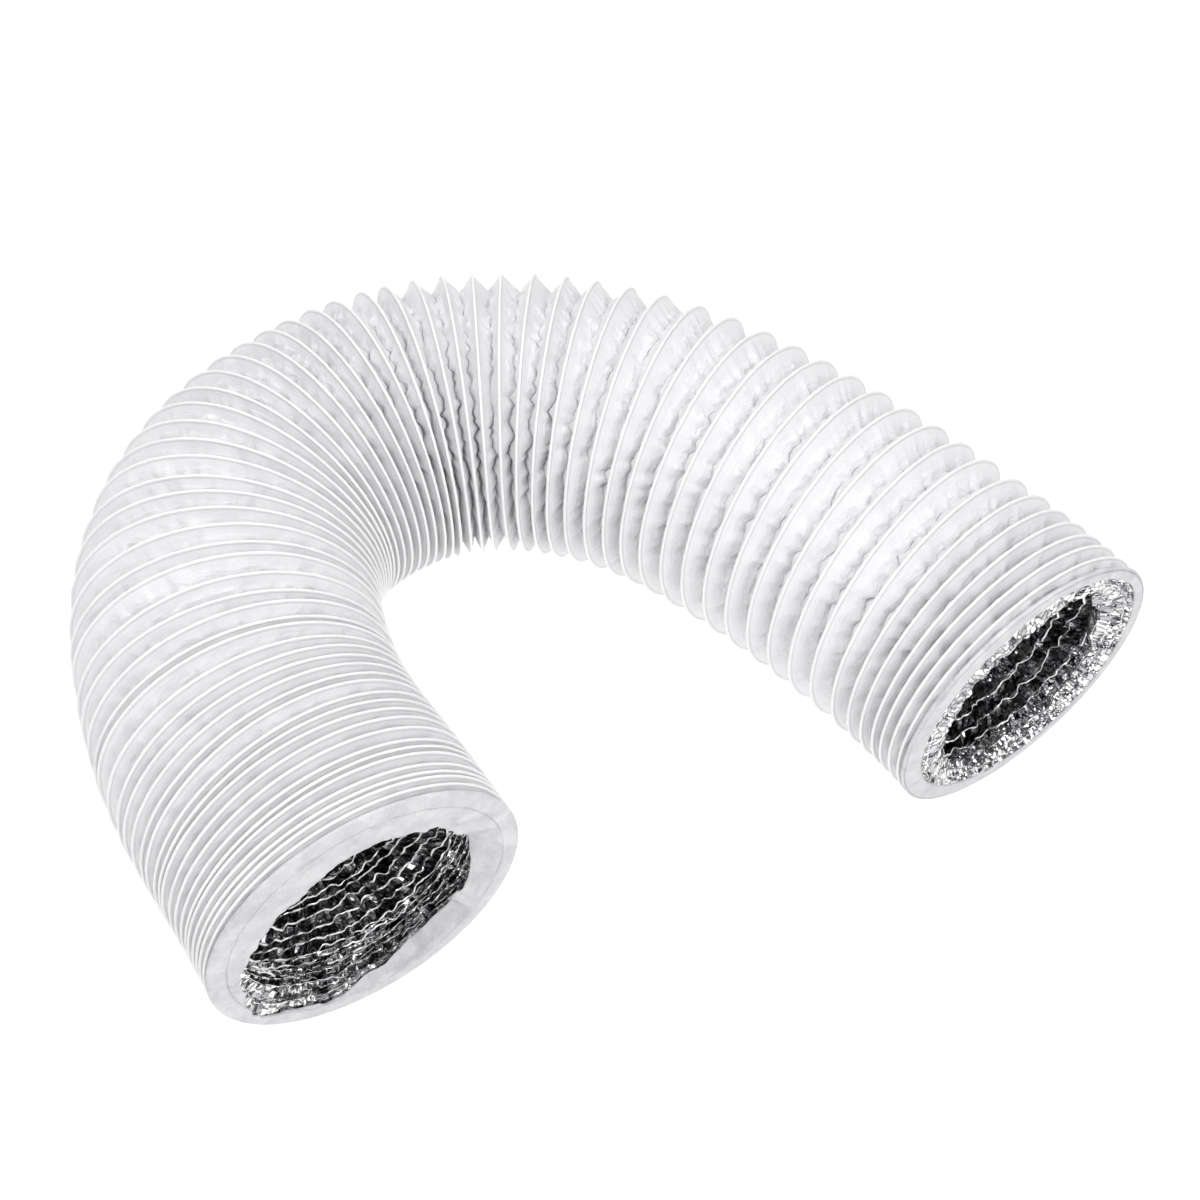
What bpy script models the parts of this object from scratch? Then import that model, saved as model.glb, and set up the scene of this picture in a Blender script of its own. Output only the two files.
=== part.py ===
"""Flexible ventilation duct, 150 mm nominal: a spring-steel wire helix between a white PVC film
jacket and an aluminium foil liner, bent into a U and lying on a flat surface.

The duct is split along its length into sections of five wire turns, so that it can bend, lift and
stretch between them. Metres, +Z up, z = 0 is the surface it lies on."""

import math

import bmesh
import bpy
import numpy as np
from mathutils import Matrix, Vector

MM = 0.001

# The route, from the front mouth round the bend to the rear mouth: each section's length along the
# centreline and how far it turns, anticlockwise seen from above.
SECTION_LENGTHS = [
    length * MM for length in (24, 29, 31, 39, 55, 55, 52, 52, 55, 68, 82, 82, 78, 42)
]
SECTION_TURNS = [
    math.radians(turn)
    for turn in (0.5, 4, -2, -11, -10, -25.5, -28.5, -19, -24.5, -22.5, -20.5, -7.5, -5.5, -7)
]
START_HEADING = math.radians(122.5)
HEADING_BLEND = 40 * MM
ROUTE_STEP = 0.5 * MM
SECTIONS = len(SECTION_LENGTHS)

# The wall, from outside to inside: jacket, wire, liner.
SIDES = 20
OUTER_RADIUS = 77.0 * MM
FILM_THICKNESS = 0.7 * MM
GAP = 0.3 * MM
WIRE_RADIUS = 0.6 * MM
COIL_RADIUS = OUTER_RADIUS - FILM_THICKNESS - GAP - WIRE_RADIUS
LINER_RADIUS = COIL_RADIUS - WIRE_RADIUS - GAP
COILS_PER_SECTION = 5
MOST_TURN_PER_SPAN = math.radians(10)
WIRE_END_TRIM = 0.05

# The folded film hem at each mouth. It holds a closed wire ring.
HEM_SKIRT = 8.0 * MM
HEM_WALL = 0.7 * MM
HEM_EDGE = 0.5 * MM
END_RING_DEPTH = 2.2 * MM
FIRST_COIL_DEPTH = 4.2 * MM
FRONT_FACE_WIDTH = 10.0 * MM
FRONT_LIP_DEPTH = 16.0 * MM
REAR_FACE_WIDTH = 8.0 * MM
REAR_LIP_DEPTH = 4.0 * MM
LIP_LEAN = 2.0 * MM

# The section that stays put. The others hang on it in two chains, one towards each mouth.
ROOT_SECTION = 7


def clear_scene():
    for old in list(bpy.data.objects):
        bpy.data.objects.remove(old)


def new_collection(name):
    collection = bpy.data.collections.new(name)
    bpy.context.scene.collection.children.link(collection)
    return collection


def plain_material(name, colour, roughness, metallic):
    material = bpy.data.materials.new(name)
    material.use_nodes = True
    shader = material.node_tree.nodes["Principled BSDF"]
    shader.inputs["Base Color"].default_value = (*colour, 1.0)
    shader.inputs["Roughness"].default_value = roughness
    shader.inputs["Metallic"].default_value = metallic
    material.diffuse_color = (*colour, 1.0)
    return material


def joint_places():
    """Distances along the route at which the sections start and end, both mouths included."""
    return np.concatenate([[0.0], np.cumsum(SECTION_LENGTHS)])


def route_table():
    """Distance, x, y and heading every ROUTE_STEP along the centreline."""
    places = joint_places()
    headings = START_HEADING + np.concatenate([[0.0], np.cumsum(SECTION_TURNS)])
    distance = np.arange(0.0, places[-1] + ROUTE_STEP / 2, ROUTE_STEP)
    window = np.linspace(-HEADING_BLEND / 2, HEADING_BLEND / 2, 21)
    heading = np.mean([np.interp(distance + w, places, headings) for w in window], axis=0)
    middle = (heading[1:] + heading[:-1]) / 2
    x = np.concatenate([[0.0], np.cumsum(np.cos(middle))]) * ROUTE_STEP
    y = np.concatenate([[0.0], np.cumsum(np.sin(middle))]) * ROUTE_STEP
    return distance, x, y, heading


def station(table, at, shift=0.0):
    """A matrix at this distance along the route: +Z forwards, +Y up and +X to the left."""
    distance, x, y, heading = table
    angle = float(np.interp(at, distance, heading))
    forwards = Vector((math.cos(angle), math.sin(angle), 0.0))
    left = Vector((-math.sin(angle), math.cos(angle), 0.0))
    centre = Vector((float(np.interp(at, distance, x)), float(np.interp(at, distance, y)), OUTER_RADIUS))
    axes = Matrix((left, Vector((0.0, 0.0, 1.0)), forwards)).transposed()
    return Matrix.Translation(centre + shift * forwards) @ axes.to_4x4()


def corner(radius, number):
    """A corner of the round wall's polygon, which has a flat side at the bottom."""
    angle = (number + 0.5) * math.tau / SIDES
    reach = radius / math.cos(math.pi / SIDES)
    return Vector((reach * math.sin(angle), -reach * math.cos(angle), 0.0))


def centred(table):
    """The same route with the middle of the duct's plan at the origin."""
    distance, x, y, heading = table
    rings = [station(table, at) @ corner(OUTER_RADIUS, n) for at in distance[::20] for n in range(SIDES)]
    plan = np.array(rings)[:, :2]
    middle = (plan.min(axis=0) + plan.max(axis=0)) / 2
    return distance, x - middle[0], y - middle[1], heading


def section_stations(table, number, mouth_inset):
    """The frames along one section, which starts and ends half a gap short of its neighbours, and
    at a mouth this inset short of it."""
    places = joint_places()
    start, end = places[number - 1], places[number]
    start_inset = mouth_inset if number == 1 else GAP / 2
    end_inset = mouth_inset if number == SECTIONS else GAP / 2
    spans = max(1, math.ceil(abs(SECTION_TURNS[number - 1]) / MOST_TURN_PER_SPAN))
    between = [station(table, at) for at in np.linspace(start, end, spans + 1)[1:-1]]
    return [station(table, start, start_inset), *between, station(table, end, -end_inset)]


def film_tube(name, frames, radius, material, collection):
    """A thin-walled tube through the frames, with this outer radius."""
    mesh = bpy.data.meshes.new(name)
    bm = bmesh.new()
    reach = radius / math.cos(math.pi / SIDES)
    half_step = Matrix.Rotation(math.pi / SIDES, 4, "Z")
    loops = []
    for frame in frames:
        circle = bmesh.ops.create_circle(bm, segments=SIDES, radius=reach, matrix=frame @ half_step)
        ring = set(circle["verts"])
        loops.append([edge for edge in bm.edges if set(edge.verts) <= ring])
    for loop, following in zip(loops, loops[1:]):
        bmesh.ops.bridge_loops(bm, edges=loop + following)
    bmesh.ops.recalc_face_normals(bm, faces=bm.faces)
    middle = frames[0].translation
    outward = sum(face.normal.dot(face.calc_center_median() - middle) for face in bm.faces if face.normal.z > 0.9)
    if outward < 0:
        bmesh.ops.reverse_faces(bm, faces=bm.faces)
    bm.to_mesh(mesh)
    bm.free()
    mesh.materials.append(material)
    tube = bpy.data.objects.new(name, mesh)
    collection.objects.link(tube)
    wall = tube.modifiers.new("Wall", "SOLIDIFY")
    wall.thickness = FILM_THICKNESS
    wall.offset = -1.0
    wall.use_even_offset = True
    mesh.shade_smooth()
    mesh.set_sharp_from_angle(angle=math.radians(40))
    return tube


def wire(name, points, closed, material, collection):
    curve = bpy.data.curves.new(name, "CURVE")
    curve.dimensions = "3D"
    curve.bevel_depth = WIRE_RADIUS
    curve.bevel_resolution = 0
    curve.use_fill_caps = not closed
    spline = curve.splines.new("POLY")
    spline.points.add(len(points) - 1)
    for spot, point in zip(spline.points, points):
        spot.co = (*point, 1.0)
    spline.use_cyclic_u = closed
    curve.materials.append(material)
    coil = bpy.data.objects.new(name, curve)
    collection.objects.link(coil)
    return coil


def coil_points(frames, coils):
    """A helix on the polygonal tube through the frames, a corner at a time."""
    steps = coils * SIDES
    spans = len(frames) - 1
    points = []
    for step in range(steps + 1):
        along = spans * step / steps
        span = min(int(along), spans - 1)
        spot = corner(COIL_RADIUS, step)
        points.append((frames[span] @ spot).lerp(frames[span + 1] @ spot, along - span))
    points[0] = points[0].lerp(points[1], WIRE_END_TRIM)
    points[-1] = points[-1].lerp(points[-2], WIRE_END_TRIM)
    return points


def hem(name, frame, face_width, lip_depth, material, collection):
    """A turned channel round a mouth: skirt outside, flat face at local z = 0, lip folded inside."""
    inner = OUTER_RADIUS - face_width
    lip = inner - LIP_LEAN * lip_depth / FRONT_LIP_DEPTH
    profile = [
        (OUTER_RADIUS, HEM_SKIRT),
        (OUTER_RADIUS, HEM_EDGE),
        (OUTER_RADIUS - HEM_EDGE, 0.0),
        (inner, 0.0),
        (lip, lip_depth),
        (lip + HEM_WALL, lip_depth),
        (inner + HEM_WALL, HEM_WALL),
        (OUTER_RADIUS - HEM_WALL, HEM_WALL),
        (OUTER_RADIUS - HEM_WALL, HEM_SKIRT),
    ]
    mesh = bpy.data.meshes.new(name)
    bm = bmesh.new()
    verts = [bm.verts.new((radius / math.cos(math.pi / SIDES), 0.0, depth)) for radius, depth in profile]
    for number, vert in enumerate(verts):
        bm.edges.new((vert, verts[(number + 1) % len(verts)]))
    bm.to_mesh(mesh)
    bm.free()
    mesh.materials.append(material)
    ring = bpy.data.objects.new(name, mesh)
    collection.objects.link(ring)
    ring.matrix_world = frame @ Matrix.Rotation(math.pi / SIDES, 4, "Z")
    turn = ring.modifiers.new("Turn", "SCREW")
    turn.steps = SIDES
    turn.render_steps = SIDES
    turn.use_merge_vertices = True
    turn.merge_threshold = 0.0001
    turn.use_smooth_shade = True
    return ring


def add_joint_empties(table, pieces, collection):
    """An empty on the axis of each joint, which carries its section and the sections beyond it."""
    places = joint_places()
    empties = {}
    for number in range(1, SECTIONS + 1):
        if number == ROOT_SECTION:
            continue
        place = places[number - 1] if number > ROOT_SECTION else places[number]
        empty = bpy.data.objects.new(f"joint_{number:02d}", None)
        empty.empty_display_size = OUTER_RADIUS
        empty.matrix_world = station(table, place)
        collection.objects.link(empty)
        empties[number] = empty
    bpy.context.view_layer.update()
    for number, empty in empties.items():
        nearer = number - 1 if number > ROOT_SECTION else number + 1
        if nearer in empties:
            empty.parent = empties[nearer]
            empty.matrix_parent_inverse = empties[nearer].matrix_world.inverted()
        for piece in pieces[number]:
            piece.parent = empty
            piece.matrix_parent_inverse = empty.matrix_world.inverted()


def build():
    clear_scene()
    duct = new_collection("flexible_duct")
    film = plain_material("pvc_film", (0.86, 0.86, 0.87), 0.45, 0.0)
    foil = plain_material("aluminium_foil", (0.62, 0.63, 0.65), 0.28, 1.0)
    steel = plain_material("spring_steel", (0.55, 0.55, 0.56), 0.35, 1.0)
    folded_film = plain_material("hem_film", (0.90, 0.90, 0.91), 0.40, 0.0)
    table = centred(route_table())
    length = joint_places()[-1]

    pieces = {}
    for number in range(1, SECTIONS + 1):
        jacket_frames = section_stations(table, number, HEM_SKIRT + GAP)
        inner_frames = section_stations(table, number, FIRST_COIL_DEPTH)
        pieces[number] = [
            film_tube(f"jacket_{number:02d}", jacket_frames, OUTER_RADIUS, film, duct),
            film_tube(f"liner_{number:02d}", inner_frames, LINER_RADIUS, foil, duct),
            wire(f"wire_coil_{number:02d}", coil_points(inner_frames, COILS_PER_SECTION), False, steel, duct),
        ]

    about_turn = Matrix.Rotation(math.pi, 4, "Y")
    front = station(table, 0.0)
    rear = station(table, length) @ about_turn
    mouth_hems = (
        ("front", 1, front, FRONT_FACE_WIDTH, FRONT_LIP_DEPTH),
        ("rear", SECTIONS, rear, REAR_FACE_WIDTH, REAR_LIP_DEPTH),
    )
    for side, number, frame, face_width, lip_depth in mouth_hems:
        ring_frame = frame @ Matrix.Translation((0.0, 0.0, END_RING_DEPTH))
        ring_points = [ring_frame @ corner(COIL_RADIUS, n) for n in range(SIDES)]
        pieces[number] += [
            wire(f"{side}_end_ring", ring_points, True, steel, duct),
            hem(f"{side}_hem", frame, face_width, lip_depth, folded_film, duct),
        ]
    add_joint_empties(table, pieces, duct)


build()
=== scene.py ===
"""Flexible ventilation duct: the looks. White PVC film pleated over a wire helix, an aluminium
foil liner inside it, and folded film hems at both mouths. Metres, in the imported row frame."""

import math

import bpy
import numpy as np
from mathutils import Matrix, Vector


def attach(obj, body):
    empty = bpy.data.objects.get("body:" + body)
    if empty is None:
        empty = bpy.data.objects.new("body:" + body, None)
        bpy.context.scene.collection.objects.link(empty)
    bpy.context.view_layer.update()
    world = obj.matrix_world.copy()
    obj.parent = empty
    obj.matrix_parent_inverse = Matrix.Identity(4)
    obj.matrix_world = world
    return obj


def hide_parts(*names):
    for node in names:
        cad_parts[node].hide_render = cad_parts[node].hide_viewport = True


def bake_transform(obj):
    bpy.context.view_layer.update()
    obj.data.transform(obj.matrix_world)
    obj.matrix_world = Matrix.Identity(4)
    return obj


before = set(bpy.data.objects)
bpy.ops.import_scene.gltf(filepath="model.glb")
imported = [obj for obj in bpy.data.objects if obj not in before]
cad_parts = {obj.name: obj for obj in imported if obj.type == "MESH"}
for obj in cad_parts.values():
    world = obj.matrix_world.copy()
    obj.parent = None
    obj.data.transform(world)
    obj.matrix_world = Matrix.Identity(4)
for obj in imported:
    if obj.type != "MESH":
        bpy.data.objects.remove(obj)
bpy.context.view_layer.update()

MM = 0.001

# The route, as in the CAD: each section's length and turn, from the front mouth to the rear one.
SECTION_LENGTHS = np.array([24, 29, 31, 39, 55, 55, 52, 52, 55, 68, 82, 82, 78, 42]) * MM
SECTION_TURNS = np.radians([0.5, 4, -2, -11, -10, -25.5, -28.5, -19, -24.5, -22.5, -20.5, -7.5, -5.5, -7])
START_HEADING = math.radians(122.5)
BLEND_LENGTH = 40 * MM
ROUTE_STEP = 0.5 * MM
SECTIONS = len(SECTION_LENGTHS)
ROUTE_LENGTH = SECTION_LENGTHS.sum()
OUTER_RADIUS = 77.0 * MM

# The wire and the film on it.
TURNS_PER_SECTION = 5
TURNS = SECTIONS * TURNS_PER_SECTION
WIRE_RADIUS = 0.6 * MM
BEAD_RADIUS = 0.78 * MM
BEAD_NECK = math.radians(118)
COIL_RADIUS = OUTER_RADIUS - BEAD_RADIUS
MOUTH_INSET = 4.2 * MM
FILM_PER_TURN = 30 * MM
HALF_BEAD = BEAD_RADIUS * BEAD_NECK
FILM_WALL = FILM_PER_TURN / 2 - HALF_BEAD
LINER_INSET = 0.4 * MM
LINER_CRUSH = 1.5 * MM
FILM_STEPS = 320
LINER_STEPS = 288
WIRE_STEPS = 96
WIRE_SIDES = 6


# ---------------------------------------------------------------- repeatable noise

ENDLESS = 1 << 20


def hashed(number, seed):
    """A value from -1 to 1 for each whole number."""
    mixed = (number.astype(np.int64) * 374761393 + seed * 668265263) & 0xFFFFFFFF
    mixed = ((mixed ^ (mixed >> 13)) * 1274126177) & 0xFFFFFFFF
    mixed = mixed ^ (mixed >> 16)
    return (mixed & 0xFFFF) / 32767.5 - 1.0


def zigzag(position, seed, period=ENDLESS):
    """Straight runs between random heights at the whole numbers, repeating after the period."""
    whole = np.floor(position)
    part = position - whole
    return hashed(whole % period, seed) * (1 - part) + hashed((whole + 1) % period, seed) * part


def waves(position, seed, period=ENDLESS):
    """Like zigzag, but rounded."""
    whole = np.floor(position)
    part = position - whole
    part = part * part * (3 - 2 * part)
    return hashed(whole % period, seed) * (1 - part) + hashed((whole + 1) % period, seed) * part


def facets(across, along, seed, period=ENDLESS):
    """Flat triangles between random heights on a grid, like crumpled film."""
    i, j = np.floor(across), np.floor(along)
    x, y = across - i, along - j

    def height(di, dj):
        return hashed((i + di) % period * 7919 + (j + dj), seed)

    low = height(0, 0) + x * (height(1, 0) - height(0, 0)) + y * (height(0, 1) - height(0, 0))
    far = height(1, 1) + (1 - x) * (height(0, 1) - height(1, 1)) + (1 - y) * (height(1, 0) - height(1, 1))
    return np.where(x + y < 1, low, far)


def step_up(value, low, high):
    part = np.clip((value - low) / (high - low), 0, 1)
    return part * part * (3 - 2 * part)


# ---------------------------------------------------------------- route and helix


def route_table():
    """Distance, x, y and heading every ROUTE_STEP along the centreline, centred in plan."""
    places = np.concatenate([[0.0], np.cumsum(SECTION_LENGTHS)])
    headings = START_HEADING + np.concatenate([[0.0], np.cumsum(SECTION_TURNS)])
    distance = np.arange(0.0, places[-1] + ROUTE_STEP / 2, ROUTE_STEP)
    window = np.linspace(-BLEND_LENGTH / 2, BLEND_LENGTH / 2, 21)
    heading = np.mean([np.interp(distance + w, places, headings) for w in window], axis=0)
    middle = (heading[1:] + heading[:-1]) / 2
    x = np.concatenate([[0.0], np.cumsum(np.cos(middle))]) * ROUTE_STEP
    y = np.concatenate([[0.0], np.cumsum(np.sin(middle))]) * ROUTE_STEP
    reach_x = OUTER_RADIUS * np.abs(np.sin(heading))
    reach_y = OUTER_RADIUS * np.abs(np.cos(heading))
    x -= ((x - reach_x).min() + (x + reach_x).max()) / 2
    y -= ((y - reach_y).min() + (y + reach_y).max()) / 2
    return distance, x, y, heading


ROUTE = route_table()


def turn_table():
    """How many wire turns lie before each distance along the route, smoothed over the sections."""
    distance = ROUTE[0]
    places = np.concatenate([[0.0], np.cumsum(SECTION_LENGTHS)])
    places[0], places[-1] = MOUTH_INSET, ROUTE_LENGTH - MOUTH_INSET
    counts = np.arange(SECTIONS + 1) * float(TURNS_PER_SECTION)
    first_pitch = (places[1] - places[0]) / TURNS_PER_SECTION
    last_pitch = (places[-1] - places[-2]) / TURNS_PER_SECTION
    margin = 30 * MM
    places = np.concatenate([[places[0] - margin], places, [places[-1] + margin]])
    counts = np.concatenate([[-margin / first_pitch], counts, [counts[-1] + margin / last_pitch]])
    window = np.linspace(-BLEND_LENGTH / 2, BLEND_LENGTH / 2, 21)
    smooth = np.mean([np.interp(distance + w, places, counts) for w in window], axis=0)
    exact = np.interp(distance, places, counts)
    at_mouth = np.minimum(distance, ROUTE_LENGTH - distance)
    share = step_up(at_mouth, 0.0, BLEND_LENGTH)
    return exact + share * (smooth - exact)


TURN_TABLE = turn_table()


def curvature(distance):
    """Radians per metre, positive where the route turns left."""
    ahead = np.interp(distance + 2 * MM, ROUTE[0], ROUTE[3])
    behind = np.interp(distance - 2 * MM, ROUTE[0], ROUTE[3])
    return (ahead - behind) / (4 * MM)


def wire_place(turn):
    """Distance along the route of the wire, this many turns from the front mouth.

    The turns lie unevenly, most of all where they are pushed together, but never touch."""
    past_pitch = 6 * MM
    inside = np.interp(turn, TURN_TABLE, ROUTE[0])
    before = np.minimum(turn - TURN_TABLE[0], 0) * past_pitch
    after = np.maximum(turn - TURN_TABLE[-1], 0) * past_pitch
    pitch = np.interp(turn + 0.5, TURN_TABLE, ROUTE[0]) - np.interp(turn - 0.5, TURN_TABLE, ROUTE[0])
    packed = 1 - step_up(turn, 18, 30)
    room = np.clip((pitch - 2.3 * BEAD_RADIUS) / 2, 0, (0.8 + 1.7 * packed) * MM)
    at_ends = step_up(turn, 0.5, 2.5) * step_up(TURNS - turn, 0.5, 2.5)
    uneven = 0.95 * waves(turn * 1.3, 11) + 0.65 * waves(turn * 2.3, 12)
    return inside + before + after + np.clip(uneven, -1, 1) * room * at_ends


def at_route(distance, sideways, upwards):
    """Points beside the centreline: sideways to its left, upwards from its middle height."""
    x = np.interp(distance, ROUTE[0], ROUTE[1])
    y = np.interp(distance, ROUTE[0], ROUTE[2])
    heading = np.interp(distance, ROUTE[0], ROUTE[3])
    past = distance - np.clip(distance, 0, ROUTE_LENGTH)
    x = x + past * np.cos(heading) - sideways * np.sin(heading)
    y = y + past * np.sin(heading) + sideways * np.cos(heading)
    return np.stack([x, y, OUTER_RADIUS + upwards + 0 * x], axis=-1)


def squeeze(distance, angle):
    """How much shorter a line along the wall is than the centreline, at this angle round it."""
    return 1 - curvature(distance) * COIL_RADIUS * np.sin(angle)


# ---------------------------------------------------------------- pleated film


def depth_limit(distance):
    """How deep the pleats may be: less beside the mouths, where the hem and the foil cuff fill in."""
    front = 8.8 * MM + 60 * MM * step_up(distance, 15 * MM, 40 * MM)
    rear = 7.0 * MM + 60 * MM * step_up(ROUTE_LENGTH - distance, 8 * MM, 24 * MM)
    return np.minimum(front, rear)


def strip_points(turn, part, fraction, inset, crush):
    """Points of the film between the wire at this turn and the next turn's, and where they lie.

    part is "near" for the half of the wire's bead on this side, "down" for the wall from the wire to
    the valley, "up" for the wall on to the next wire, and "far" for the half bead there. fraction
    runs from 0 to 1 over each. inset moves the film inwards, square to its surface, and crush is how
    much further its own crumples may go."""
    angle = turn * math.tau
    first, second = wire_place(turn), wire_place(turn + 1)
    scale = squeeze((first + second) / 2, angle)
    gap = np.maximum((second - first) * scale, 2.1 * BEAD_RADIUS)
    around = turn * math.tau * COIL_RADIUS / MM

    loose = step_up(gap / MM, 6.0, 14.0)
    half = gap / 2
    film = FILM_PER_TURN * (1 + 0.04 * waves(turn * 2.3, 21))
    depth = np.sqrt(np.maximum(film**2 - gap**2, (9 * MM) ** 2)) / 2 - BEAD_RADIUS
    depth = np.minimum(depth, depth_limit((first + second) / 2))
    depth = depth + MM * (1.1 * zigzag(around / 5.3, 22) + 0.5 * zigzag(around / 2.3, 25))
    jag = 0.95 * zigzag(around / 5.1, 23) + 0.55 * zigzag(around / 2.5, 24)
    shift = np.minimum(0.5 * half, 2.0 * MM) * np.clip(jag, -1, 1)
    valley = half * (1 + 0.14 * loose) + shift

    neck = BEAD_RADIUS * math.sin(BEAD_NECK)
    sunk = BEAD_RADIUS * math.cos(BEAD_NECK)
    if part in ("near", "far"):
        bead = BEAD_NECK * (fraction if part == "near" else 1 - fraction)
        along = (BEAD_RADIUS - inset / 2) * np.sin(bead) + 0 * gap
        radial = (BEAD_RADIUS - inset / 2) * np.cos(bead) + 0 * gap
    else:
        width = (valley if part == "down" else gap - valley) - neck
        run = fraction if part == "down" else 1 - fraction
        drop = 1 - (1 - run) ** (0.9 - 0.12 * (1 - loose))
        length = np.hypot(width, depth)
        at_fold = step_up(run, 0.75, 1.0)
        out_along = depth / length * (1 - at_fold)
        out_radial = width / length * (1 - at_fold) + at_fold
        wall_step = run * FILM_WALL / MM
        side = 1 if part == "down" else 2
        smooth_until = 0.42 if part == "down" else 0.15
        worn = step_up(run, smooth_until, smooth_until + 0.4) * (1 - 0.75 * step_up(run, 0.93, 1.0))
        room = np.minimum(0.34 * np.abs(width), (0.12 + 1.0 * loose) * MM)
        crumple = room * worn * (
            0.65 * facets(around / 6.5, wall_step / 3.0 + side * 50, 31)
            + 0.5 * facets(around / 3.2, wall_step / 1.9 + side * 50, 32)
        )
        billow = 0.3 * MM * loose * math.sin(math.pi * run) * waves(around / 30.0, 33)
        own = 0.5 + 0.6 * facets(around / 4.3, wall_step / 3.4 + side * 50, 34)
        own = own + 0.3 * facets(around / 2.1, wall_step / 1.8 + side * 50, 35)
        own_room = np.minimum(crush, 0.34 * (neck + run * np.abs(width)))
        out = crumple + billow - inset - np.clip(own, 0, 1) * own_room * step_up(run, 0.15, 0.5)
        along = neck + run * width + out * out_along
        radial = sunk - drop * (depth + sunk) + out * out_radial
    if part in ("near", "down"):
        distance = first + along / scale
    else:
        distance = second - along / scale
    distance = np.clip(distance, MM, ROUTE_LENGTH - MM)
    radius = COIL_RADIUS + radial
    return at_route(distance, radius * np.sin(angle), -radius * np.cos(angle)), distance


def film_columns(bead_steps, runs):
    """What each column of the mesh is: from the middle of one wall, over a wire, to the next wall.

    Each is how many turns earlier its strip starts, the part of the strip, and the fraction of it."""
    rising = 1 - np.array(runs)[::-1]
    bead = np.linspace(0, 1, bead_steps + 1)
    columns = [(1, "up", run) for run in rising if run >= 0.5]
    columns += [(1, "far", run) for run in bead[1:-1]]
    columns += [(0, "near", run) for run in bead[:-1]]
    columns += [(0, "down", run) for run in runs]
    columns += [(0, "up", run) for run in rising[1:] if run < 0.5]
    return columns


def film_length(earlier, part, fraction):
    """Length along the film from the wire to this column."""
    starts = {"near": 0.0, "down": HALF_BEAD, "up": HALF_BEAD + FILM_WALL, "far": HALF_BEAD + 2 * FILM_WALL}
    lengths = {"near": HALF_BEAD, "down": FILM_WALL, "up": FILM_WALL, "far": HALF_BEAD}
    return starts[part] + fraction * lengths[part] - earlier * FILM_PER_TURN


FILM_COLUMNS = film_columns(4, [0.0, 0.05, 0.13, 0.24, 0.36, 0.47, 0.57, 0.66, 0.75, 0.83, 0.9, 0.96, 1.0])
LINER_COLUMNS = film_columns(1, [0.04, 0.2, 0.38, 0.54, 0.68, 0.79, 0.88, 0.95, 1.0])


def ribbon_mesh(name, first_turn, last_turn, steps, columns, inset, crush):
    """The film over these turns as one mesh. Each turn's last column is the next turn's first."""
    rows = (last_turn - first_turn) * steps + 1
    turn = first_turn + np.arange(rows + steps) / steps
    width = len(columns)
    points = np.zeros((len(turn), width, 3))
    distance = np.zeros((len(turn), width))
    for number, (earlier, part, fraction) in enumerate(columns):
        points[:, number], distance[:, number] = strip_points(
            turn - earlier, part, fraction, inset, crush
        )
    vertices = np.concatenate([points[:rows].reshape(-1, 3), points[rows:, 0]])
    reach = np.concatenate([distance[:rows].reshape(-1), distance[rows:, 0]])

    def index(row, column):
        wrapped = row + steps
        next_turn = np.where(wrapped < rows, wrapped * width, rows * width + wrapped - rows)
        return np.where(column == width, next_turn, row * width + column)

    row, column = np.meshgrid(np.arange(rows - 1), np.arange(width), indexing="ij")
    along = np.array([film_length(*each) for each in columns])
    along = np.append(along, along[0] + FILM_PER_TURN)
    around = turn * math.tau * COIL_RADIUS
    ring = [(row, column), (row, column + 1), (row + 1, column + 1), (row + 1, column)]
    quads = np.stack([index(*corner) for corner in ring], axis=-1).reshape(-1, 4)
    film = np.stack([np.stack([around[r], along[c]], axis=-1) for r, c in ring], axis=-2)
    return mesh_object(name, vertices, quads, film.reshape(-1, 2)), reach


def mesh_object(name, vertices, quads, corners=None):
    mesh = bpy.data.meshes.new(name)
    mesh.vertices.add(len(vertices))
    mesh.vertices.foreach_set("co", np.ascontiguousarray(vertices, np.float32).ravel())
    mesh.loops.add(quads.size)
    mesh.loops.foreach_set("vertex_index", quads.ravel().astype(np.int32))
    mesh.polygons.add(len(quads))
    mesh.polygons.foreach_set("loop_start", np.arange(0, quads.size, 4, dtype=np.int32))
    mesh.update(calc_edges=True)
    if corners is not None:
        layer = mesh.uv_layers.new(name="film")
        layer.uv.foreach_set("vector", corners.astype(np.float32).ravel())
    mesh.shade_smooth()
    mesh.validate()
    piece = bpy.data.objects.new(name, mesh)
    bpy.context.scene.collection.objects.link(piece)
    return piece


# ---------------------------------------------------------------- pieces


def section(number):
    return f"section_{number:02d}"


def turns_of(border):
    """The turns that one piece covers, from the middle of a section to the middle of the next."""
    first = 0 if border == 1 else TURNS_PER_SECTION * border - 3
    last = TURNS if border == SECTIONS - 1 else TURNS_PER_SECTION * border + 2
    return first, last


def bend_with(piece):
    """Bakes the piece's placement into its mesh."""
    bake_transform(piece)


def round_only(piece, rounded_faces):
    """Shade these faces round and leave the others as flat facets."""
    piece.data.polygons.foreach_set("use_smooth", rounded_faces)


def film_pieces(name, node, steps, columns, inset, crush, material):
    """The film or the foil over the whole duct, one piece across each section border."""
    for border in range(1, SECTIONS):
        first, last = turns_of(border)
        piece, reach = ribbon_mesh(f"{name}_{border:02d}", first, last, steps, columns, inset, crush)
        if crush > 0:
            fold = columns.index((0, "down", 1.0))
            column = np.arange(len(piece.data.polygons)) % len(columns)
            round_only(piece, (column == fold - 1) | (column == fold))
        piece.data.materials.append(material)
        bend_with(piece)
        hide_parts(f"{node}_{border:02d}", f"{node}_{border + 1:02d}")


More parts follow.
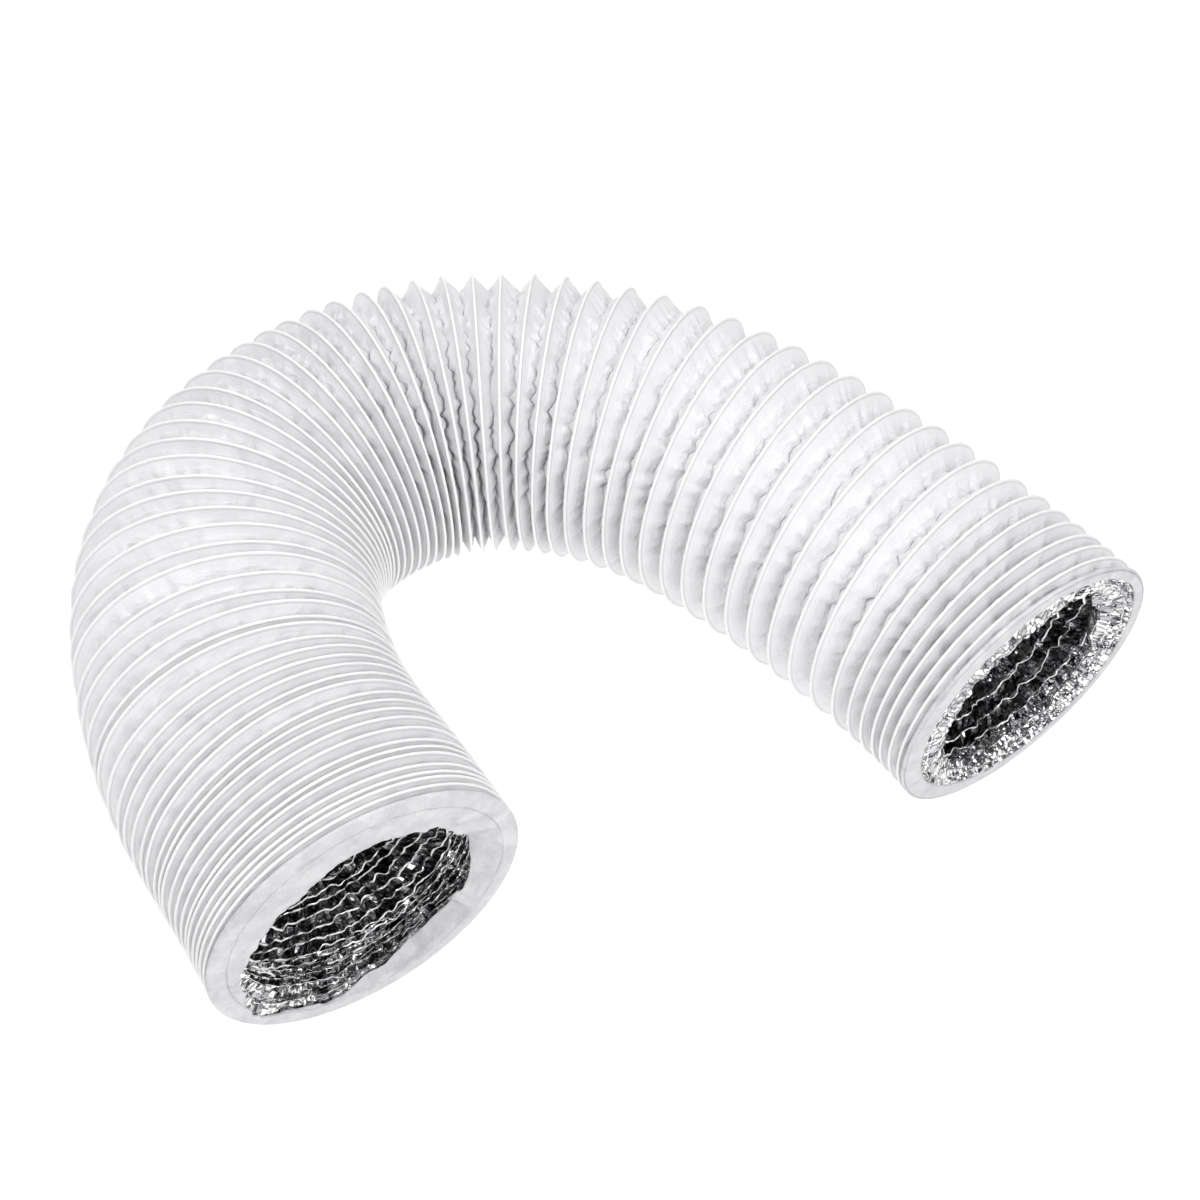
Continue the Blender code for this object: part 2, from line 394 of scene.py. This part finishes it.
def tube_points(centres, out, side, radius, sides):
    """Rings of points round a line. out and side are directions square to it."""
    angle = np.arange(sides) * math.tau / sides
    return (
        centres[:, None]
        + radius * np.cos(angle)[None, :, None] * out[:, None]
        + radius * np.sin(angle)[None, :, None] * side[:, None]
    )


def tube_quads(rings, sides, closed):
    count = rings if closed else rings - 1
    row, column = np.meshgrid(np.arange(count), np.arange(sides), indexing="ij")
    following = (row + 1) % rings
    beside = (column + 1) % sides
    return np.stack(
        [row * sides + column, row * sides + beside, following * sides + beside, following * sides + column],
        axis=-1,
    ).reshape(-1, 4)


def wire_pieces(material):
    for border in range(1, SECTIONS):
        first, last = turns_of(border)
        turn = np.linspace(first, last, (last - first) * WIRE_STEPS + 1)
        distance = wire_place(turn)
        angle = turn * math.tau
        centres = at_route(distance, COIL_RADIUS * np.sin(angle), -COIL_RADIUS * np.cos(angle))
        out = centres - at_route(distance, 0 * angle, 0 * angle)
        out /= np.linalg.norm(out, axis=1)[:, None]
        ahead = at_route(distance + MM, 0 * angle, 0 * angle) - at_route(distance, 0 * angle, 0 * angle)
        ahead /= np.linalg.norm(ahead, axis=1)[:, None]
        points = tube_points(centres, out, ahead, WIRE_RADIUS, WIRE_SIDES)
        quads = tube_quads(len(turn), WIRE_SIDES, False)
        piece = mesh_object(f"wire_{border:02d}", points.reshape(-1, 3), quads)
        piece.data.materials.append(material)
        bend_with(piece)
        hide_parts(f"wire_coil_{border:02d}", f"wire_coil_{border + 1:02d}")


# ---------------------------------------------------------------- mouths


def mouth_points(rear, radius, depth, angle):
    """Points this far in from a mouth's plane, at this radius and angle round it."""
    distance = ROUTE_LENGTH - depth if rear else depth
    return at_route(distance, radius * np.sin(angle), -radius * np.cos(angle))


def collar(name, rear, rings, angle, along=None):
    """A band round a mouth through rings of (radius, depth), each one value for every angle.

    along is each ring's length along the film, in millimetres."""
    every = 0 * angle
    points = np.stack([mouth_points(rear, radius + every, depth + every, angle) for radius, depth in rings])
    quads = tube_quads(len(rings), len(angle), False)
    around = angle * COIL_RADIUS
    steps = np.array(range(len(rings)) if along is None else along) * MM
    row, column = np.meshgrid(np.arange(len(rings) - 1), np.arange(len(angle)), indexing="ij")
    whole = np.append(around, math.tau * COIL_RADIUS)
    ring = [(row, column), (row, column + 1), (row + 1, column + 1), (row + 1, column)]
    film = np.stack([np.stack([whole[c], steps[r]], axis=-1) for r, c in ring], axis=-2)
    if rear:
        quads = quads[:, ::-1]
        film = film[..., ::-1, :]
    return mesh_object(name, points.reshape(-1, 3), quads, film.reshape(-1, 2))


def rounded(profile, steps):
    """A smooth line through the corners of a profile, in metres."""
    corners = np.array(profile) * MM
    for _ in range(steps):
        first, last = corners[:1], corners[-1:]
        quarter = corners[:-1] * 0.75 + corners[1:] * 0.25
        three = corners[:-1] * 0.25 + corners[1:] * 0.75
        middle = np.stack([quarter, three], axis=1).reshape(-1, 2)
        corners = np.concatenate([first, middle[1:-1], last])
    return corners


def bead_profile(radius, depth, thick, first, last):
    """Part of a circle round an end ring, as a profile. Angles run from outwards towards the mouth."""
    turns = np.radians(np.linspace(first, last, 11))
    return [(radius + thick * math.cos(turn), depth - thick * math.sin(turn)) for turn in turns]


HEM_STEPS = 540
RIM_RADIUS = 75.85
RIM_DEPTH = 2.0
RIM_THICK = 1.15
SEAM_RADIUS = 67.6

# The free edge of the inner film at the front mouth and of the folded foil at the rear one: radius
# and depth in millimetres, every 30 degrees round the mouth from its lowest point. Both droop at the top.
FRONT_EDGE = [
    (62.5, 5.5), (67.0, 1.1), (70.6, 0.8), (62.5, 1.8), (52.0, 3.2), (47.0, 3.0),
    (50.5, 2.5), (49.5, 3.5), (50.5, 5.5), (55.0, 9.0), (57.5, 6.5), (61.0, 9.5),
]
REAR_FOIL_EDGE = [
    (59.0, 8.0), (63.0, 6.5), (61.5, 7.5), (56.0, 9.0), (52.5, 8.0), (58.0, 4.0),
    (49.5, 3.5), (47.5, 3.0), (46.5, 3.5), (47.0, 4.5), (51.0, 6.5), (57.0, 8.0),
]
REAR_FACE_EDGE = [69.0, 70.4, 70.4, 70.0, 70.4, 70.6, 70.2, 67.2, 64.5, 65.0, 66.2, 67.0]


def round_angles(steps):
    return np.arange(steps) * math.tau / steps


def round_mouth(values, angle):
    """Values given at even steps round a mouth, joined smoothly."""
    values = np.array(values)
    place = angle / math.tau * len(values)
    whole = np.floor(place).astype(int)
    part = step_up(place - whole, 0, 1)
    return values[whole % len(values)] * (1 - part) + values[(whole + 1) % len(values)] * part


def round_noise(kind, angle, spacing, seed, lean=0.0):
    """Noise with knots this many millimetres apart that closes up round a mouth."""
    knots = round(math.tau * COIL_RADIUS / MM / spacing)
    return kind(angle / math.tau * knots + lean, seed, knots)


def round_facets(angle, along, spacing, seed):
    knots = round(math.tau * COIL_RADIUS / MM / spacing)
    return facets(angle / math.tau * knots, along + 0 * angle, seed, knots)


def hanging_edge(edges, angle, ragged, seed):
    """Radius and depth of a free edge all round a mouth, with its tears and waves."""
    uneven = 0.6 * round_noise(zigzag, angle, 9.0, seed) + 0.4 * round_noise(zigzag, angle, 3.6, seed + 1)
    radius = round_mouth([edge[0] for edge in edges], angle) * MM + ragged * uneven * MM
    depth = round_mouth([edge[1] for edge in edges], angle) * MM
    return radius, depth + 0.35 * ragged * round_noise(waves, angle, 11.0, seed + 2) * MM


def hanging_rings(start, end, count, rough, seed, size, gather):
    """Rings from one line round a mouth to another, wrinkled square to the surface between them.

    gather is waves for soft film and zigzag for foil."""
    angle = round_angles(len(start[0]))
    run_radius, run_depth = end[0] - start[0], end[1] - start[1]
    length = np.hypot(run_radius, run_depth) + 0.2 * MM
    rings = []
    for number in range(count + 1):
        part = number / count
        gathers = 0.8 * round_noise(gather, angle, size, seed, 0.4 * part)
        gathers = gathers + 0.45 * round_noise(gather, angle, 0.45 * size, seed + 1, -0.3 * part)
        creased = 0.5 * round_facets(angle, part * length / MM / size / 1.3, 1.3 * size, seed + 2)
        lift = rough * min(1, part * 4) * np.minimum(1, length / (5 * MM)) * (gathers + creased)
        radius = start[0] + run_radius * part + lift * run_depth / length * MM
        depth = start[1] + run_depth * part - lift * run_radius / length * MM
        rings.append((radius, depth))
    return rings


def hem_outside(face_from):
    """The back of the hem and its bead, up to this far round the bead."""
    bead = bead_profile(RIM_RADIUS, RIM_DEPTH, RIM_THICK, -150, face_from)
    return [(radius * MM, depth * MM) for radius, depth in [(71.8, 5.0), (73.6, 4.4)] + bead]


def front_edge(angle):
    """The inner film's free edge at the front mouth: smooth at the top and torn lower down."""
    return hanging_edge(FRONT_EDGE, angle, 1.3 + 0.9 * np.cos(angle - 0.9), 43)


def front_hem(material):
    angle = round_angles(HEM_STEPS)
    edge_radius, edge_depth = front_edge(angle)
    face = [(74.9, 0.78), (73.9, 0.62), (71, 0.6), (69.4, 0.6)]
    face += [(68.6, 0.62), (68.2, 1.5), (67.9, 0.7), (SEAM_RADIUS, 0.6)]
    rings = hem_outside(75)
    seam = np.maximum(SEAM_RADIUS * MM, edge_radius)
    for number, (radius, depth) in enumerate(rounded(face, 1)):
        ripple = 0.16 * MM * round_noise(waves, angle, 9.0, 41) * step_up(74.5 * MM - radius, 0, 5 * MM)
        rings.append((np.maximum(radius, seam + (16 - number) * 0.02 * MM), depth + ripple))
    edge = (np.minimum(edge_radius, seam - 0.1 * MM), edge_depth)
    start = (seam - 0.05 * MM, rings[-1][1])
    rings += hanging_rings(start, edge, 18, 1.3 + 0.7 * np.cos(angle), 44, 10.0, waves)
    behind_radius, behind_depth = rings[-1]
    for back, deeper in ((-0.1, 0.3), (0.5, 0.5), (1.6, 0.6)):
        rings.append((behind_radius + back * MM, behind_depth + deeper * MM))
    piece = collar("front_mouth_hem", False, rings, angle)
    piece.data.materials.append(material)
    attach(piece, section(1))
    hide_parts("front_hem")


def rear_hem(material):
    angle = round_angles(HEM_STEPS)
    inner = round_mouth(REAR_FACE_EDGE, angle) * MM + 0.35 * MM * round_noise(waves, angle, 6.0, 52)
    face = [(75.95, 1.5), (75.6, 1.7), (75.3, 0.8), (74.9, 0.52), (74.2, 0.5)]
    rings = hem_outside(70) + list(rounded(face, 1))
    outer = rings[-1]
    for part in (0.2, 0.4, 0.6, 0.8, 0.95):
        ripple = 0.22 * MM * part * round_noise(waves, angle, 8.0, 51, part)
        rings.append((outer[0] + (inner - outer[0]) * part, outer[1] + 0.1 * MM * part + ripple))
    for back, depth in ((0.0, 1.1), (0.0, 2.0), (0.6, 4.0)):
        rings.append((inner + back * MM, depth * MM))
    piece = collar("rear_mouth_hem", True, rings, angle)
    piece.data.materials.append(material)
    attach(piece, section(SECTIONS))
    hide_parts("rear_hem")


CUFF_STEPS = 600
FRONT_CUFF_REACH = 25.0
FRONT_CUFF_FOLDS = 9


def foil_piece(name, rear, lines, counts, rough, size, ridges, seed, body, node, material):
    """Crumpled foil through these lines round a mouth. ridges are the lines that stand inwards."""
    angle = round_angles(CUFF_STEPS)
    rings = [lines[0]]
    along = [0.0]
    beside_ridge = []
    for number, count in enumerate(counts):
        start, end = lines[number], lines[number + 1]
        between = hanging_rings(start, end, count, rough, seed + 10 * number, size, zigzag)
        rings += between[1:-1] + [end]
        low, high = (0, 15) if number + 1 in ridges else (15, 30)
        along += list(np.linspace(low, high, count + 1)[1:])
        beside_ridge += [number in ridges] + [False] * (count - 2) + [number + 1 in ridges]
    piece = collar(name, rear, rings, angle, along)
    round_only(piece, np.repeat(beside_ridge, CUFF_STEPS))
    piece.data.materials.append(material)
    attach(piece, body)
    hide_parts(node)


def front_cuff(material):
    """The gathered end of the liner: tight, jagged folds from behind the inner film's edge."""
    angle = round_angles(CUFF_STEPS)
    edge_radius, edge_depth = front_edge(angle)
    start_radius = np.clip(edge_radius + 1.0 * MM, 64.0 * MM, 71.6 * MM)
    start_depth = edge_depth + 0.7 * MM
    lines = []
    for number in range(FRONT_CUFF_FOLDS + 1):
        part = number / FRONT_CUFF_FOLDS
        inward = number % 2
        jag = 0.9 * round_noise(zigzag, angle, 5.6, 100 + number)
        jag = jag + 0.5 * round_noise(zigzag, angle, 2.6, 200 + number)
        tube = (60.8 if inward else 66.4) * MM
        radius = start_radius + (tube - start_radius) * step_up(part, 0, 0.3)
        radius = radius - inward * 2.0 * MM * (1 - part)
        depth = start_depth + (FRONT_CUFF_REACH * MM - start_depth) * part
        swing = MM * min(1, 4 * part)
        lines.append((radius + 0.8 * jag * swing, depth + 1.2 * jag * swing))
    counts = [6] * FRONT_CUFF_FOLDS
    ridges = range(1, FRONT_CUFF_FOLDS + 1, 2)
    body = section(1)
    foil_piece("front_foil_cuff", False, lines, counts, 0.9, 4.0, ridges, 61, body, "liner_01", material)


def rear_cuff(material):
    """The foil folded back inside the rear hem: a crumpled skirt with a ragged inner edge."""
    angle = round_angles(CUFF_STEPS)
    inner = round_mouth(REAR_FACE_EDGE, angle) * MM
    edge = hanging_edge(REAR_FOIL_EDGE, angle, 3.0, 71)
    jag = 0.8 * round_noise(zigzag, angle, 5.0, 74) + 0.5 * round_noise(zigzag, angle, 2.4, 75)
    outer_fold = (inner - (2.4 + 0.9 * jag) * MM, (3.6 + 0.8 * jag) * MM)
    inner_fold = (inner - (4.6 + 0.9 * jag) * MM, (2.2 + 0.6 * jag) * MM)
    half_way = ((inner_fold[0] + edge[0]) / 2, (inner_fold[1] + edge[1]) / 2 - 0.8 * MM)
    lines = [
        (inner + 0.3 * MM, 2.6 * MM + 0 * angle),
        (inner - 0.3 * MM, 1.2 * MM + 0 * angle),
        outer_fold,
        inner_fold,
        half_way,
        edge,
        (edge[0] + (2.2 + jag) * MM, edge[1] + 2.4 * MM),
        (np.maximum(edge[0] + 6 * MM, 63 * MM), edge[1] + (7.0 + 1.5 * jag) * MM),
    ]
    counts = (2, 3, 3, 6, 6, 3, 4)
    body = section(SECTIONS)
    foil_piece("rear_foil_cuff", True, lines, counts, 1.7, 4.2, (3, 5), 81, body, "liner_14", material)


def end_ring(name, rear, node, body, material):
    angle = np.arange(240) * math.tau / 240
    turns = np.arange(9) * math.tau / 8
    rings = [
        (RIM_RADIUS * MM + WIRE_RADIUS * math.cos(turn), RIM_DEPTH * MM - WIRE_RADIUS * math.sin(turn))
        for turn in turns
    ]
    piece = collar(name, rear, rings, angle)
    piece.data.materials.append(material)
    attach(piece, body)
    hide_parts(node)


# ---------------------------------------------------------------- materials


class Shader:
    """Short names for the node links that every material here makes."""

    def __init__(self, name):
        self.material = bpy.data.materials.new(name)
        self.material.use_nodes = True
        self.nodes = self.material.node_tree.nodes
        self.links = self.material.node_tree.links
        self.principled = self.nodes["Principled BSDF"]

    def add(self, kind, **inputs):
        node = self.nodes.new(kind)
        for name, value in inputs.items():
            self.put(node, name.replace("_", " "), value)
        return node

    def put(self, node, name, value):
        socket = node.inputs[int(name)] if name.isdigit() else node.inputs[name]
        if isinstance(value, bpy.types.NodeSocket):
            self.links.new(value, socket)
        else:
            socket.default_value = value

    def film_place(self):
        """The film coordinates: metres round the duct, and metres along the film."""
        node = self.add("ShaderNodeUVMap")
        node.uv_map = "film"
        return node.outputs["UV"]

    def scaled(self, vector, scale):
        node = self.add("ShaderNodeMapping", Vector=vector, Scale=scale)
        return node.outputs["Vector"]

    def object_place(self):
        return self.add("ShaderNodeTexCoord").outputs["Object"]

    def noise(self, vector, scale, detail=3.0, roughness=0.5):
        node = self.add("ShaderNodeTexNoise", Vector=vector, Scale=scale, Detail=detail, Roughness=roughness)
        return node.outputs["Fac"]

    def ramp(self, value, low, high, to_low=0.0, to_high=1.0):
        node = self.add("ShaderNodeMapRange", Value=value)
        for name, number in (("From Min", low), ("From Max", high), ("To Min", to_low), ("To Max", to_high)):
            node.inputs[name].default_value = number
        return node.outputs["Result"]

    def math(self, operation, first, second):
        node = self.nodes.new("ShaderNodeMath")
        node.operation = operation
        self.put(node, "0", first)
        self.put(node, "1", second)
        return node.outputs["Value"]

    def blend(self, amount, first, second):
        node = self.nodes.new("ShaderNodeMix")
        node.data_type = "RGBA"
        sockets = [socket for socket in node.inputs if socket.type == "RGBA"]
        for socket, value in zip(sockets, (first, second)):
            if isinstance(value, bpy.types.NodeSocket):
                self.links.new(value, socket)
            else:
                socket.default_value = value
        self.links.new(amount, node.inputs[0])
        return [socket for socket in node.outputs if socket.type == "RGBA"][0]

    def bump(self, height, distance, strength):
        node = self.add("ShaderNodeBump", Height=height, Distance=distance, Strength=strength)
        return node.outputs["Normal"]

    def vector_math(self, operation, first, second):
        node = self.nodes.new("ShaderNodeVectorMath")
        node.operation = operation
        self.put(node, "0", first)
        self.put(node, "1", second)
        return node.outputs["Vector"]

    def patches(self, vector):
        """A random colour for every flat patch between creases, and the distance to its crease."""
        patch = self.add("ShaderNodeTexVoronoi", Vector=vector, Scale=1.0)
        edge = self.add("ShaderNodeTexVoronoi", Vector=vector, Scale=1.0)
        edge.feature = "DISTANCE_TO_EDGE"
        return patch.outputs["Color"], edge.outputs["Distance"]

    def tilted(self, normal, colour, amount):
        """The normal, leaning a different way on every patch."""
        lean = self.vector_math("SUBTRACT", colour, (0.5, 0.5, 0.5))
        lean = self.vector_math("MULTIPLY", lean, (amount, amount, amount))
        total = self.vector_math("ADD", normal, lean)
        return self.vector_math("NORMALIZE", total, (0.0, 0.0, 0.0))

    def creased(self, vector, scale, width):
        """1 along thin wandering lines and 0 between them, like creases in crushed film."""
        value = self.noise(vector, scale, 2.0, 0.55)
        off = self.math("ABSOLUTE", self.math("SUBTRACT", value, 0.5), 0.0)
        return self.ramp(off, 0.0, width, 1.0, 0.0)

    def from_wire(self, film):
        """Metres along the film to the nearest wire: 0 at a wire and half a turn's film at a fold."""
        apart = self.add("ShaderNodeSeparateXYZ", Vector=film).outputs["Y"]
        node = self.nodes.new("ShaderNodeMath")
        node.operation = "PINGPONG"
        self.put(node, "0", apart)
        self.put(node, "1", FILM_PER_TURN / 2)
        return node.outputs["Value"]


def film_material():
    """Satin white PVC film: a bead over the wire painted bright as a highlight, with a darker line in its
    neck that is partly a glue seam and partly painted shade, streaks beside it, creases by the folds, and
    broken dark strokes of painted shade along each fold.
    """
    look = Shader("satin_pvc_film")
    film = look.film_place()
    away = look.from_wire(film)
    folded = look.ramp(away, 4 * MM, 13 * MM, 0.15, 1.0)
    streaks = look.noise(look.scaled(film, (30, 1100, 1)), 1.0, 4.0, 0.65)
    mottle = look.noise(look.object_place(), 110, 3.0, 0.6)
    crumples = look.noise(look.object_place(), 330, 2.0, 0.5)
    creases = look.creased(look.scaled(film, (70, 210, 1)), 1.0, 0.045)
    base = look.blend(look.ramp(mottle, 0.3, 0.7), (0.89, 0.89, 0.905, 1), (0.93, 0.93, 0.935, 1))
    base = look.blend(look.ramp(streaks, 0.36, 0.5, 0.25, 0.0), base, (0.8, 0.8, 0.83, 1))
    # A darker line in the bead's neck, just beside the bead: partly a real glue seam, partly painted shade.
    seam = look.ramp(away, 1.0 * HALF_BEAD, 1.15 * HALF_BEAD)
    seam = look.math("MULTIPLY", seam, look.ramp(away, 1.25 * HALF_BEAD, 1.6 * HALF_BEAD, 0.45, 0.0))
    # Painted highlight: the bead over the wire is painted near-white.
    base = look.blend(look.ramp(away, 0.5 * HALF_BEAD, HALF_BEAD), (0.99, 0.99, 0.99, 1), base)
    base = look.blend(seam, base, (0.6, 0.6, 0.64, 1))
    # Painted shade: dark strokes, broken in places, along each fold, where the deep valleys lie in shadow.
    breaks = look.ramp(look.noise(look.scaled(film, (90, 20, 1)), 1.0, 3.0, 0.6), 0.45, 0.6)
    fold_shade_stroke = look.math("MULTIPLY", look.ramp(away, 14.3 * MM, 14.8 * MM), breaks)
    base = look.blend(look.math("MULTIPLY", fold_shade_stroke, 0.75), base, (0.3, 0.3, 0.33, 1))
    look.put(look.principled, "Base Color", base)
    look.put(look.principled, "Roughness", look.ramp(mottle, 0.3, 0.7, 0.34, 0.48))
    look.put(look.principled, "Specular IOR Level", 0.5)
    level = look.math("MULTIPLY", look.math("MULTIPLY", crumples, folded), 1.9)
    groove = look.math("MULTIPLY", look.math("MULTIPLY", creases, folded), -0.8)
    height = look.math("ADD", look.math("ADD", level, groove), look.math("MULTIPLY", streaks, 1.0))
    look.put(look.principled, "Normal", look.bump(height, 0.45 * MM, 0.7))
    return look.material


def hem_material():
    """The hem's film: a little thicker, matt, and softly puckered, with painted shade of the puckers as
    light and dark blotches in its colour.
    """
    look = Shader("hem_pvc_film")
    film = look.film_place()
    fine = look.noise(look.scaled(film, (420, 60, 1)), 1.0, 3.0, 0.55)
    puckers = look.noise(look.object_place(), 55, 3.0, 0.5)
    height = look.math("ADD", look.math("MULTIPLY", fine, 0.1), puckers)
    mottle = look.noise(look.object_place(), 85, 4.0, 0.6)
    # Painted shade of soft puckers: light and dark blotches in the colour.
    look.put(
        look.principled,
        "Base Color",
        look.blend(look.ramp(mottle, 0.36, 0.64), (0.63, 0.63, 0.65, 1), (0.77, 0.77, 0.78, 1)),
    )
    look.put(look.principled, "Roughness", look.ramp(mottle, 0.3, 0.7, 0.36, 0.5))
    look.put(look.principled, "Normal", look.bump(height, 7 * MM, 1.0))
    return look.material


def painted_ridge_glints(look, film, dents, packed):
    """Where glints are painted: 1 along the folds, broken in places, and along stray creases where the foil
    is packed.
    """
    away = look.from_wire(film)
    fold = look.ramp(away, 14.25 * MM, 14.6 * MM)
    fold = look.math("MULTIPLY", fold, look.ramp(dents, 0.38, 0.54, 0.2, 1.0))
    jag = look.noise(look.scaled(film, (170, 40, 1)), 1.0, 2.0, 0.7)
    off = look.math("SUBTRACT", look.math("ADD", away, look.math("MULTIPLY", jag, 12 * MM)), 13 * MM)
    # Stray painted glints along wandering creases, only where the foil is packed.
    stray_glint = look.ramp(look.math("ABSOLUTE", off, 0.0), 0.3 * MM, 0.7 * MM, 0.75, 0.0)
    stray_glint = look.math("MULTIPLY", look.math("MULTIPLY", stray_glint, packed), look.ramp(dents, 0.44, 0.5))
    return look.math("MAXIMUM", fold, stray_glint)


def foil_material():
    """Aluminium foil: flat mirror patches between sharp creases, with painted reflections on the patches,
    painted shade along the creases, and painted, faintly glowing glints along each ridge.
    """
    look = Shader("crumpled_foil")
    film = look.film_place()
    place = look.object_place()
    sideways = look.add("ShaderNodeSeparateXYZ", Vector=place).outputs["X"]
    packed = look.ramp(sideways, -0.01, -0.05)
    wrinkles = look.noise(place, 420, 2.0, 0.55)
    dents = look.noise(place, 160, 2.0, 0.5)
    ridge_glint = painted_ridge_glints(look, film, dents, packed)
    bent = look.vector_math("ADD", film, look.scaled(place, (0.15, 0.15, 0.15)))
    colour, shaded_crease_distance = look.patches(look.scaled(bent, (270, 62, 1)))
    # Painted reflections: each patch a random grey to white, as if it mirrored bright and dark surroundings,
    # with darker greys on the packed side.
    patch_reflection = look.add("ShaderNodeSeparateXYZ", Vector=colour).outputs["X"]
    dark_reflection = look.blend(packed, (0.5, 0.5, 0.53, 1), (0.26, 0.26, 0.28, 1))
    base = look.blend(look.ramp(patch_reflection, 0.1, 0.7), dark_reflection, (1.0, 1.0, 1.0, 1))
    # Painted shade: near-black lines along the creases between patches.
    base = look.blend(look.ramp(shaded_crease_distance, 0.02, 0.09, 0.9, 0.0), base, (0.06, 0.06, 0.07, 1))
    # Painted glints along the ridges: white, less metallic, rougher, and glowing a little though no lamp is
    # there.
    look.put(look.principled, "Base Color", look.blend(ridge_glint, base, (1.0, 1.0, 1.0, 1)))
    look.put(look.principled, "Metallic", look.ramp(ridge_glint, 0.0, 1.0, 1.0, 0.7))
    look.put(look.principled, "Roughness", look.ramp(ridge_glint, 0.0, 1.0, 0.16, 0.42))
    look.put(look.principled, "Emission Color", (1.0, 1.0, 1.0, 1))
    look.put(look.principled, "Emission Strength", look.ramp(ridge_glint, 0.3, 1.0, 0.0, 0.5))
    height = look.math("ADD", look.math("MULTIPLY", wrinkles, 0.2), look.math("MULTIPLY", dents, 0.5))
    normal = look.bump(height, 0.5 * MM, 0.5)
    look.put(look.principled, "Normal", look.tilted(normal, colour, 0.8))
    return look.material


def steel_material():
    """Drawn spring wire, with fine marks along it."""
    look = Shader("drawn_spring_wire")
    marks = look.noise(look.object_place(), 900, 3.0, 0.6)
    look.put(
        look.principled,
        "Base Color",
        look.blend(look.ramp(marks, 0.3, 0.7), (0.42, 0.42, 0.43, 1), (0.6, 0.6, 0.61, 1)),
    )
    look.put(look.principled, "Metallic", 1.0)
    look.put(look.principled, "Roughness", look.ramp(marks, 0.3, 0.7, 0.25, 0.45))
    return look.material


def floor_material():
    """A pale studio sweep that is lit from behind, so shadows on it stay faint."""
    look = Shader("lit_sweep")
    grain = look.noise(look.object_place(), 60, 2.0, 0.5)
    look.put(
        look.principled,
        "Base Color",
        look.blend(grain, (0.34, 0.34, 0.34, 1), (0.36, 0.36, 0.36, 1)),
    )
    look.put(look.principled, "Roughness", 0.9)
    look.put(look.principled, "Specular IOR Level", 0.0)
    look.put(look.principled, "Emission Color", (1.0, 1.0, 1.0, 1))
    look.put(look.principled, "Emission Strength", 0.86)
    return look.material


# ---------------------------------------------------------------- studio

CAMERA_TARGET = Vector((-0.0032, 0.0051, 0.077))
CAMERA_DISTANCE = 0.8425
CAMERA_AZIMUTH = math.radians(-0.29)
CAMERA_ELEVATION = math.radians(52.32)
CAMERA_LENS = 49.61


def add_camera():
    data = bpy.data.cameras.new("camera")
    data.sensor_width = 36.0
    data.lens = CAMERA_LENS
    data.clip_start = 0.01
    camera = bpy.data.objects.new("camera", data)
    flat = math.cos(CAMERA_ELEVATION)
    ahead = Vector(
        (math.sin(CAMERA_AZIMUTH) * flat, math.cos(CAMERA_AZIMUTH) * flat, -math.sin(CAMERA_ELEVATION))
    )
    camera.location = CAMERA_TARGET - CAMERA_DISTANCE * ahead
    camera.rotation_euler = ahead.to_track_quat("-Z", "Y").to_euler()
    bpy.context.scene.collection.objects.link(camera)
    bpy.context.scene.camera = camera


def add_soft_light(name, place, power):
    """A metre-wide disk that faces the duct."""
    data = bpy.data.lights.new(name, "AREA")
    data.shape = "DISK"
    data.size = 1.0
    data.energy = power
    light = bpy.data.objects.new(name, data)
    light.location = place
    light.rotation_euler = (Vector((0, 0, 0.05)) - Vector(place)).to_track_quat("-Z", "Y").to_euler()
    bpy.context.scene.collection.objects.link(light)


def add_world():
    """A dim room with pale walls: bright beside the floor, and darker overhead."""
    world = bpy.data.worlds.new("studio")
    world.use_nodes = True
    nodes = world.node_tree.nodes
    links = world.node_tree.links
    place = nodes.new("ShaderNodeTexCoord")
    upwards = nodes.new("ShaderNodeSeparateXYZ")
    fade = nodes.new("ShaderNodeMapRange")
    for name, number in (("From Min", 0.06), ("From Max", 0.32), ("To Min", 0.86), ("To Max", 0.12)):
        fade.inputs[name].default_value = number
    background = nodes["Background"]
    background.inputs["Color"].default_value = (0.96, 0.97, 1.0, 1)
    links.new(place.outputs["Generated"], upwards.inputs["Vector"])
    links.new(upwards.outputs["Z"], fade.inputs["Value"])
    links.new(fade.outputs["Result"], background.inputs["Strength"])
    bpy.context.scene.world = world


def add_studio():
    add_world()
    add_soft_light("overhead", (0.2, 0.25, 1.8), 11.5)
    add_soft_light("front_left", (-0.5, -0.9, 1.5), 8.3)
    add_soft_light("front_right", (0.7, -0.9, 1.4), 10.4)
    add_soft_light("back_left", (-0.8, 0.6, 1.3), 5.4)
    bpy.ops.mesh.primitive_plane_add(size=40.0, location=(0, 0, 0))
    floor = bpy.context.object
    floor.name = "floor"
    floor.data.materials.append(floor_material())
    bpy.context.scene.view_settings.view_transform = "Standard"


# ---------------------------------------------------------------- build

pvc = film_material()
hem = hem_material()
foil = foil_material()
steel = steel_material()

film_pieces("film", "jacket", FILM_STEPS, FILM_COLUMNS, 0.0, 0.0, pvc)
film_pieces("foil", "liner", LINER_STEPS, LINER_COLUMNS, LINER_INSET, LINER_CRUSH, foil)
wire_pieces(steel)
end_ring("front_rim_wire", False, "front_end_ring", section(1), steel)
end_ring("rear_rim_wire", True, "rear_end_ring", section(SECTIONS), steel)
front_hem(hem)
rear_hem(hem)
front_cuff(foil)
rear_cuff(foil)
add_camera()
add_studio()
